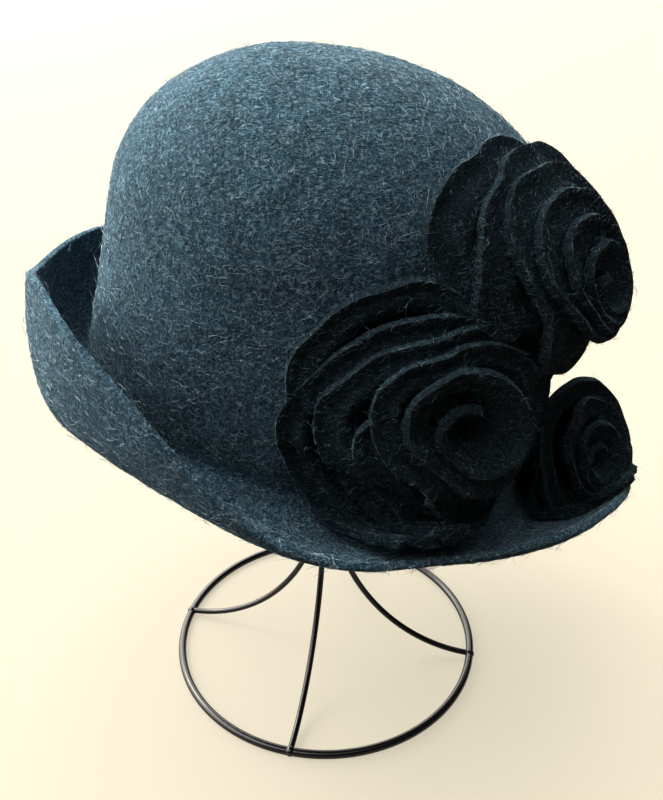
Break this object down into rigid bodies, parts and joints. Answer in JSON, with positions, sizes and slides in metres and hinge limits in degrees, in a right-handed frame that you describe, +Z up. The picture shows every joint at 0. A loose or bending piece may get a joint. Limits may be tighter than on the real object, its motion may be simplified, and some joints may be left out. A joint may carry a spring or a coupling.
{
  "type": "cloche hat on wire stand",
  "caption": "Felt cloche hat with a round crown, a rolled-up brim and wound felt roses, tilted on a black wire hat stand.",
  "frame": {"origin": "middle of the whole outline, on the plane the stand stands on", "axes": "+Z up, +X towards the end of the hat with the roses, -Y towards the side that carries the large rose"},
  "size_m": [0.2714, 0.2536, 0.3055],
  "materials": {
    "felt": "matt marled wool felt",
    "rose_felt": "matt marled wool felt",
    "wire": "gloss black"
  },
  "bodies": {
    "root": {"felt_hat": "felt", "rose_large": "rose_felt", "rose_upper": "rose_felt", "rose_lower": "rose_felt", "wire_stand": "wire"}
  },
  "joints": []
}
